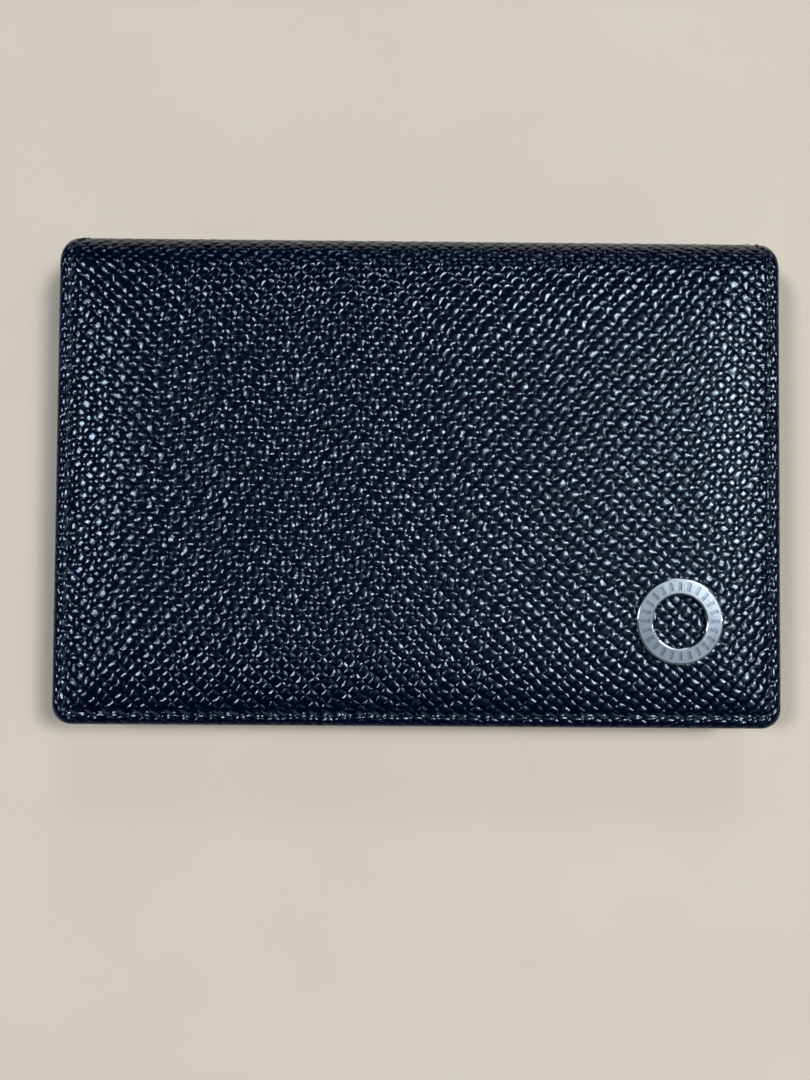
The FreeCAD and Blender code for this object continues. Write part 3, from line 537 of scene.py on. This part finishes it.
class Nodes:
    """Short ways to add and join the nodes of one material."""

    def __init__(self, name):
        self.material = bpy.data.materials.new(name)
        self.material.use_nodes = True
        self.tree = self.material.node_tree
        self.shader = self.tree.nodes["Principled BSDF"]

    def add(self, kind, inputs=(), **settings):
        """Adds a node; inputs are values or sockets, by place or name."""
        node = self.tree.nodes.new("ShaderNode" + kind)
        for key, value in settings.items():
            setattr(node, key, value)
        for key, value in (inputs.items() if isinstance(inputs, dict) else enumerate(inputs)):
            self.put(node.inputs[key], value)
        return node

    def put(self, socket, value):
        if isinstance(value, bpy.types.NodeSocket):
            self.tree.links.new(value, socket)
        elif value is not None:
            socket.default_value = value

    def math(self, operation, *values):
        return self.add("Math", values, operation=operation).outputs[0]

    def vector(self, operation, *values):
        node = self.add("VectorMath", values, operation=operation)
        return node.outputs["Value" if operation == "DOT_PRODUCT" else "Vector"]

    def ramp(self, factor, *stops):
        """A colour ramp through (place, colour) stops; a colour may be one grey number."""
        node = self.add("ValToRGB", [factor])
        steps = node.color_ramp.elements
        while len(steps) < len(stops):
            steps.new(0.5)
        for step, (place, colour) in zip(steps, stops):
            step.position = place
            grey = isinstance(colour, (int, float))
            step.color = (colour,) * 3 + (1,) if grey else tuple(colour) + (1,)
        return node.outputs[0]

    def noise(self, where, scale, detail=2.0, rough=0.5):
        return self.add("TexNoise", {"Vector": where, "Scale": scale, "Detail": detail,
                                     "Roughness": rough}).outputs["Fac"]

    def bump(self, height, distance, strength=1.0, normal=None):
        return self.add("Bump", {"Height": height, "Distance": distance, "Strength": strength,
                                 "Normal": normal}).outputs["Normal"]

    def set(self, **sockets):
        """Sets the shader's own sockets: base_color is Base Color, and so on."""
        for key, value in sockets.items():
            name = " ".join(word.capitalize() for word in key.split("_"))
            name = {"Ior": "IOR", "Specular": "Specular IOR Level"}.get(name, name)
            self.put(self.shader.inputs[name], value)


def grain_nodes(m):
    """The same grain as grain(), as nodes that read the flat map. Returns its height."""
    uv = m.add("UVMap", uv_map="hide").outputs[0]
    place = m.vector("SCALE", uv)
    place.node.inputs["Scale"].default_value = 100
    moved = place
    for angle, length, size, phase_x, phase_y in WAVES:
        k = 2 * math.pi / length
        turned = m.add("Mapping", {"Vector": place, "Rotation": (0, 0, angle), "Scale": (k,) * 3,
                                   "Location": (phase_x, phase_y, 0)}).outputs[0]
        moved = m.vector("MULTIPLY_ADD", m.vector("SINE", turned), (size, size, 0), moved)
    cells = [m.vector("DOT_PRODUCT", moved, (b[0], b[1], 0)) for b in RECIPROCAL]
    whole = [m.math("FLOOR", c) for c in cells]
    across = [m.math("SUBTRACT", m.math("FRACT", c), 0.5) for c in cells]
    luck = [m.math("SINE", m.math("MULTIPLY_ADD", whole[0], a, m.math("MULTIPLY_ADD", whole[1], b, p)))
            for a, b, p in CELL_WAVES]
    sides = [m.math("SUBTRACT", 1.0, m.math("POWER", m.math("ABSOLUTE", m.math("MULTIPLY", a, 2.0)),
                                            DOME)) for a in across]
    rows = m.math("MULTIPLY", m.math("ADD", *sides), ROWS / 2)
    dome = m.math("MULTIPLY_ADD", m.math("MULTIPLY", *sides), 1 - ROWS, rows)
    lean = m.math("MULTIPLY_ADD", luck[0], across[0], m.math("MULTIPLY", luck[1], across[1]))
    dome = m.math("MULTIPLY", dome, m.math("MULTIPLY_ADD", lean, TILT, 1.0))
    short = m.math("MULTIPLY_ADD", luck[0], -SHORTER / 2, 1 - SHORTER / 2)
    folds = m.math("ADD", *[m.math("COSINE", m.math("MULTIPLY", a, 4 * math.pi)) for a in across])
    folds = m.math("MULTIPLY", folds, m.math("MULTIPLY_ADD", luck[1], -CREASED / 2, -CREASED / 2))
    height = m.math("SMOOTH_MAX", m.math("MULTIPLY_ADD", dome, short, folds), VALLEY, 2 * VALLEY)
    return height, place


def cover_leather():
    """Near-black navy leather with an embossed pebble grain and a glossy finish; painted shade makes
    the grain's valleys darker than its tops.
    """
    m = Nodes("cover_leather")
    height, place = grain_nodes(m)
    fine = m.noise(place, 6.0, 3.0, 0.6)
    wrinkle = m.noise(place, 2.4, 2.0, 0.5)
    blotch = m.noise(place, 0.12, 2.0)
    # Painted shade: the colour runs from darkest in the grain's valleys to lightest on the pebble
    # tops.
    colour = m.ramp(height, (0.0, (0.0002, 0.0007, 0.0050)), (0.45, (0.0003, 0.0012, 0.0100)),
                    (1.0, (0.0005, 0.0020, 0.0140)))
    tint = m.ramp(blotch, (0.3, (0.75, 0.80, 0.9)), (0.7, (1.2, 1.15, 1.1)))
    mixed = m.add("Mix", data_type="RGBA", blend_type="MULTIPLY")
    mixed.inputs["Factor"].default_value = 1.0
    m.put(mixed.inputs[6], colour)
    m.put(mixed.inputs[7], tint)
    rough = m.math("MULTIPLY_ADD", height, -0.03, m.math("MULTIPLY_ADD", fine, 0.06, 0.14))
    relief = m.bump(wrinkle, 0.024 * MM, 0.8, m.bump(height, 0.07 * MM))
    relief = m.bump(fine, 0.016 * MM, 0.7, relief)
    m.set(base_color=mixed.outputs[2], roughness=rough, normal=relief, specular=0.5, ior=1.5,
          specular_tint=(0.72, 0.87, 1.0, 1.0))
    return m.material


def inner_leather():
    """Smooth black calf with a fine grain and a low sheen."""
    m = Nodes("inner_leather")
    place = m.add("TexCoord").outputs["Object"]
    cells = m.add("TexVoronoi", {"Vector": place, "Scale": 2600.0, "Randomness": 1.0},
                  feature="DISTANCE_TO_EDGE").outputs[0]
    pores = m.ramp(cells, (0.0, 0.0), (0.12, 1.0))
    creases = m.noise(place, 900.0, 4.0, 0.6)
    blotch = m.noise(place, 60.0, 3.0)
    m.set(base_color=m.ramp(blotch, (0.3, (0.0045, 0.0055, 0.0090)), (0.7, (0.0075, 0.0090, 0.0140))),
          roughness=m.math("MULTIPLY_ADD", creases, 0.22, 0.36), specular=0.45,
          normal=m.bump(pores, 0.02 * MM, 0.7, m.bump(creases, 0.05 * MM, 0.6)))
    return m.material


def textile():
    """A fine black twill: slanting ribs crossed by finer yarns."""
    m = Nodes("textile_lining")
    place = m.add("TexCoord").outputs["Object"]
    ribs = m.math("SINE", m.math("MULTIPLY", m.vector("DOT_PRODUCT", place, (0.8, 0.6, 0)), 11000.0))
    yarns = m.math("SINE", m.math("MULTIPLY", m.vector("DOT_PRODUCT", place, (0, 1, 0)), 21000.0))
    weave = m.math("MULTIPLY_ADD", yarns, 0.35, ribs)
    slub = m.noise(place, 700.0, 3.0)
    tone = m.math("MULTIPLY_ADD", weave, 0.22, slub)
    m.set(base_color=m.ramp(tone, (0.2, (0.003, 0.0035, 0.006)), (0.8, (0.012, 0.013, 0.019))),
          roughness=0.75, specular=0.3, sheen_weight=0.25, sheen_roughness=0.4,
          normal=m.bump(weave, 0.03 * MM, 0.8, m.bump(slub, 0.04 * MM, 0.5)))
    return m.material


def thread_material():
    """Waxed navy-black sewing thread with fine fibres."""
    m = Nodes("thread")
    place = m.add("TexCoord").outputs["Object"]
    fibres = m.noise(place, 9000.0, 2.0)
    m.set(base_color=m.ramp(fibres, (0.3, (0.002, 0.005, 0.013)), (0.7, (0.008, 0.014, 0.030))),
          roughness=m.math("MULTIPLY_ADD", fibres, 0.2, 0.38), specular=0.4,
          normal=m.bump(fibres, 0.015 * MM, 0.6))
    return m.material


def board_material():
    """Grey-brown pressed board with visible fibres."""
    m = Nodes("board")
    place = m.add("TexCoord").outputs["Object"]
    fibre = m.noise(m.add("Mapping", {"Vector": place, "Scale": (1, 6, 1)}).outputs[0], 900.0, 5.0)
    m.set(base_color=m.ramp(fibre, (0.3, (0.24, 0.20, 0.16)), (0.7, (0.40, 0.35, 0.29))),
          roughness=0.9, normal=m.bump(fibre, 0.05 * MM, 0.5))
    return m.material


def emblem_metal(name, colour, rough):
    """Polished plated metal with the faintest haze and hairline scratches."""
    m = Nodes(name)
    place = m.add("TexCoord").outputs["Object"]
    haze = m.noise(place, 400.0, 4.0)
    hairs = m.noise(m.add("Mapping", {"Vector": place, "Rotation": (0, 0, 0.5),
                                      "Scale": (1, 30, 1)}).outputs[0], 900.0, 2.0)
    m.set(base_color=tuple(colour) + (1,), metallic=1.0,
          roughness=m.math("MULTIPLY_ADD", haze, 0.10, rough),
          normal=m.bump(hairs, 0.002 * MM, 0.5))
    return m


def emblem_ring_metal():
    """The ring's metal, with painted shade in the bottoms of its flutes."""
    bright, painted_shade_grey = (0.42, 0.45, 0.48), (0.31, 0.33, 0.35)
    m = emblem_metal("emblem_metal", bright, 0.08)
    centre = (RING_LO + RING_HI) / 2
    place = m.vector("SUBTRACT", m.add("TexCoord").outputs["Object"], tuple(centre))
    parts = m.add("SeparateXYZ", [place]).outputs
    radius = m.math("SQRT", m.math("ADD", m.math("POWER", parts[0], 2.0),
                                   m.math("POWER", parts[1], 2.0)))
    from_middle = m.math("ABSOLUTE", m.math("SUBTRACT", radius, FLUTE_RADIUS))
    in_band = m.math("LESS_THAN", from_middle, 0.72 * MM)
    top = RING_HI.z - centre.z
    below = m.math("LESS_THAN", parts[2], top - 0.05 * MM)
    above = m.math("GREATER_THAN", parts[2], top - 0.5 * MM)
    # Painted shade: the flute bottoms get a darker grey than the polished face.
    painted_flute_shade = m.math("MULTIPLY", in_band, m.math("MULTIPLY", below, above))
    m.set(base_color=m.ramp(painted_flute_shade, (0.0, bright), (1.0, painted_shade_grey)))
    return m.material


# ---------------------------------------------------------------- assembly

def give(piece, material):
    """Covers a piece with a material."""
    piece.data.materials.clear()
    piece.data.materials.append(material)


def blend_back(piece):
    """Bakes the placement of a piece of the back half into its mesh."""
    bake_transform(piece)


def blend_flap(piece):
    """Bakes the placement of a piece of the flap half into its mesh."""
    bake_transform(piece)


def build_cover(leather, inner, thread):
    """The two halves of the cover, the spine's lining and the seam round the edge."""
    for side, flap, join in (("back", False, blend_back), ("flap", True, blend_flap)):
        fold = "upper_fold_" if flap else "lower_fold_"
        shell = cover_shell(side + "_cover", flap)
        give(shell, leather)
        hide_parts(side + "_cover_leather", fold + "leather", *["spine_leather"] * flap)
        lining = spine_lining("spine_lining_" + side, flap)
        give(lining, inner)
        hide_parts(side + "_spine_lining_tab", fold + "lining",
                    *["spine_lining_middle"] * flap)
        seam = sew(side + "_edge_stitches", *cover_seam(flap))
        give(seam, thread)
        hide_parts(side + "_outer_stitches", fold + "stitches", *["spine_stitches"] * flap)
        for piece in (shell, lining, seam):
            join(piece)


def build_inside(inner, cloth, thread):
    """Panels, linings, the gusset and the seams that hold them."""
    for name, node, up, slot, body in (
            ("pocket_front", "pocket_front_panel", 1, False, "pocket"),
            ("pocket_slot", "pocket_slot_panel", 1, True, "pocket"),
            ("flap_slip", "flap_slip_panel", -1, True, "flap"),
            ("flap_slot", "flap_slot_panel", -1, True, "flap")):
        panel = leather_panel(name, node, up, slot)
        give(panel, inner)
        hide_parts(node)
        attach(panel, body)
    for seed, (node, body, glued_to) in enumerate((
            ("back_lining", "back", "back_cover"), ("flap_lining", "flap", "flap_cover"),
            ("pocket_front_lining", "pocket", "pocket_front"))):
        sheet = cloth_lining(node.replace("lining", "cloth"), node, seed)
        give(sheet, cloth)
        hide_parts(node)
        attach(sheet, body)
    bellows = gusset("gusset")
    give(bellows, inner)
    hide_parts("pocket_gusset")
    lo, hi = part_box("pocket_gusset")
    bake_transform(bellows)

    slot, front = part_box("pocket_slot_panel")[1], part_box("pocket_front_panel")[1]
    flap_slot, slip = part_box("flap_slot_panel"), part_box("flap_slip_panel")
    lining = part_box("flap_lining")[0]
    seams = {
        "back": inner_seam(SEAM, [(FREE_EDGE, lo.z + GUSSET_THICK)], 1, PANEL_SEAM_TOP),
        "pocket": inner_seam(SEAM + 1.0 * MM, [(FREE_EDGE, slot.z), (slot.y, front.z)], 1,
                             PANEL_SEAM_TOP),
        "flap": inner_seam(SEAM, [(FREE_EDGE, flap_slot[0].z), (flap_slot[1].y, slip[0].z),
                                  (slip[1].y, lining.z)], -1, FLAP_SEAM_TOP),
    }
    stands_for = {"back": "back_inner_stitches", "pocket": "pocket_front_stitches",
                  "flap": "flap_inner_stitches"}
    for body, seam in seams.items():
        piece = sew(body + "_inner_seam", *seam)
        give(piece, thread)
        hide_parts(stands_for[body])
        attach(piece, body)
    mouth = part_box("pocket_mouth_stitches")
    run = np.linspace(mouth[0].x, mouth[1].x, 40)
    y = (mouth[0].y + mouth[1].y) / 2
    path = np.column_stack([run, np.full(40, y), np.full(40, front.z - 0.06 * MM)])
    piece = sew("pocket_mouth_seam", path, np.tile([0.0, 0.0, 1.0], (40, 1)))
    give(piece, thread)
    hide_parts("pocket_mouth_stitches")
    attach(piece, "pocket")


inner = inner_leather()
thread = thread_material()
build_cover(cover_leather(), inner, thread)
build_inside(inner, textile(), thread)
give(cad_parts["emblem_ring"], emblem_ring_metal())
give(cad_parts["emblem_backing_washer"],
     emblem_metal("washer_metal", (0.45, 0.45, 0.46), 0.3).material)
board = board_material()
for stiffener in ("back_stiffener", "flap_stiffener"):
    give(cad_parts[stiffener], board)

# ---------------------------------------------------------------- stage, light and camera


def area_light(name, direction, distance, size, power, colour):
    """A soft square light that shines on the case from a direction."""
    data = bpy.data.lights.new(name, "AREA")
    data.size = size
    data.energy, data.color = power, colour
    light = bpy.data.objects.new(name, data)
    light.location = Vector(direction).normalized() * distance
    light.rotation_euler = (-light.location).to_track_quat("-Z", "Y").to_euler()
    bpy.context.scene.collection.objects.link(light)


def sun(name, direction, angle, strength, colour):
    """A soft far light, angle degrees across."""
    data = bpy.data.lights.new(name, "SUN")
    data.angle, data.energy, data.color = math.radians(angle), strength, colour
    light = bpy.data.objects.new(name, data)
    light.rotation_euler = (-Vector(direction)).to_track_quat("-Z", "Y").to_euler()
    bpy.context.scene.collection.objects.link(light)


def surroundings():
    """A studio that is pale near the horizon and dark overhead."""
    world = bpy.data.worlds.new("studio")
    world.use_nodes = True
    tree = world.node_tree
    way = tree.nodes.new("ShaderNodeTexCoord").outputs["Generated"]
    heights = []
    for tilt in ((0, 0, 1), (0, 0.6, 1)):   # darker sooner behind the spine
        dot = tree.nodes.new("ShaderNodeVectorMath")
        dot.operation = "DOT_PRODUCT"
        dot.inputs[1].default_value = tilt
        tree.links.new(way, dot.inputs[0])
        heights.append(dot.outputs["Value"])
    height = tree.nodes.new("ShaderNodeMath")
    height.operation = "MAXIMUM"
    tree.links.new(heights[0], height.inputs[0])
    tree.links.new(heights[1], height.inputs[1])
    ramp = tree.nodes.new("ShaderNodeValToRGB")
    tree.links.new(height.outputs[0], ramp.inputs[0])
    ramp.color_ramp.elements[0].color = (0.40, 0.43, 0.47, 1)
    ramp.color_ramp.elements[0].position = 0.25
    ramp.color_ramp.elements[1].color = (0.008, 0.012, 0.02, 1)
    ramp.color_ramp.elements[1].position = 0.62
    tree.links.new(ramp.outputs[0], tree.nodes["Background"].inputs[0])
    bpy.context.scene.world = world


def floor():
    """A plain pale floor."""
    bpy.ops.mesh.primitive_plane_add(size=30, location=(0, 0, 0))
    ground = bpy.context.object
    ground.name = "floor"
    m = Nodes("floor")
    soft = m.noise(m.add("TexCoord").outputs["Object"], 40.0, 4.0)
    m.set(base_color=m.ramp(soft, (0.3, (0.79, 0.67, 0.53)), (0.7, (0.81, 0.69, 0.55))),
          roughness=0.7, specular=0.2)
    ground.data.materials.append(m.material)


floor()
sun("key", (0.41, 0.14, 0.90), 12.5, 1.40, (0.90, 0.95, 1.0))
sun("left", (-0.46, 0.10, 0.88), 10, 1.12, (0.82, 0.90, 1.0))
sun("rear", (0.10, 0.80, 0.62), 12, 0.35, (0.62, 0.78, 1.0))
area_light("glow", (0.28, -0.06, 0.95), 0.60, 0.32, 0.17, (0.70, 0.84, 1.0))
area_light("window", (0.40, 0.11, 0.90), 0.62, 0.16, 0.42, (0.80, 0.90, 1.0))
surroundings()
bpy.context.scene.view_settings.view_transform = "Standard"

camera_data = bpy.data.cameras.new("camera")
camera_data.lens = 40
camera_data.clip_start = 0.01
camera = bpy.data.objects.new("camera", camera_data)
camera.location = (-3.5 * MM, -16.3 * MM, 194.7 * MM)
camera.rotation_euler = [math.radians(a) for a in (2.18, -0.48, 0.44)]
bpy.context.scene.collection.objects.link(camera)
bpy.context.scene.camera = camera
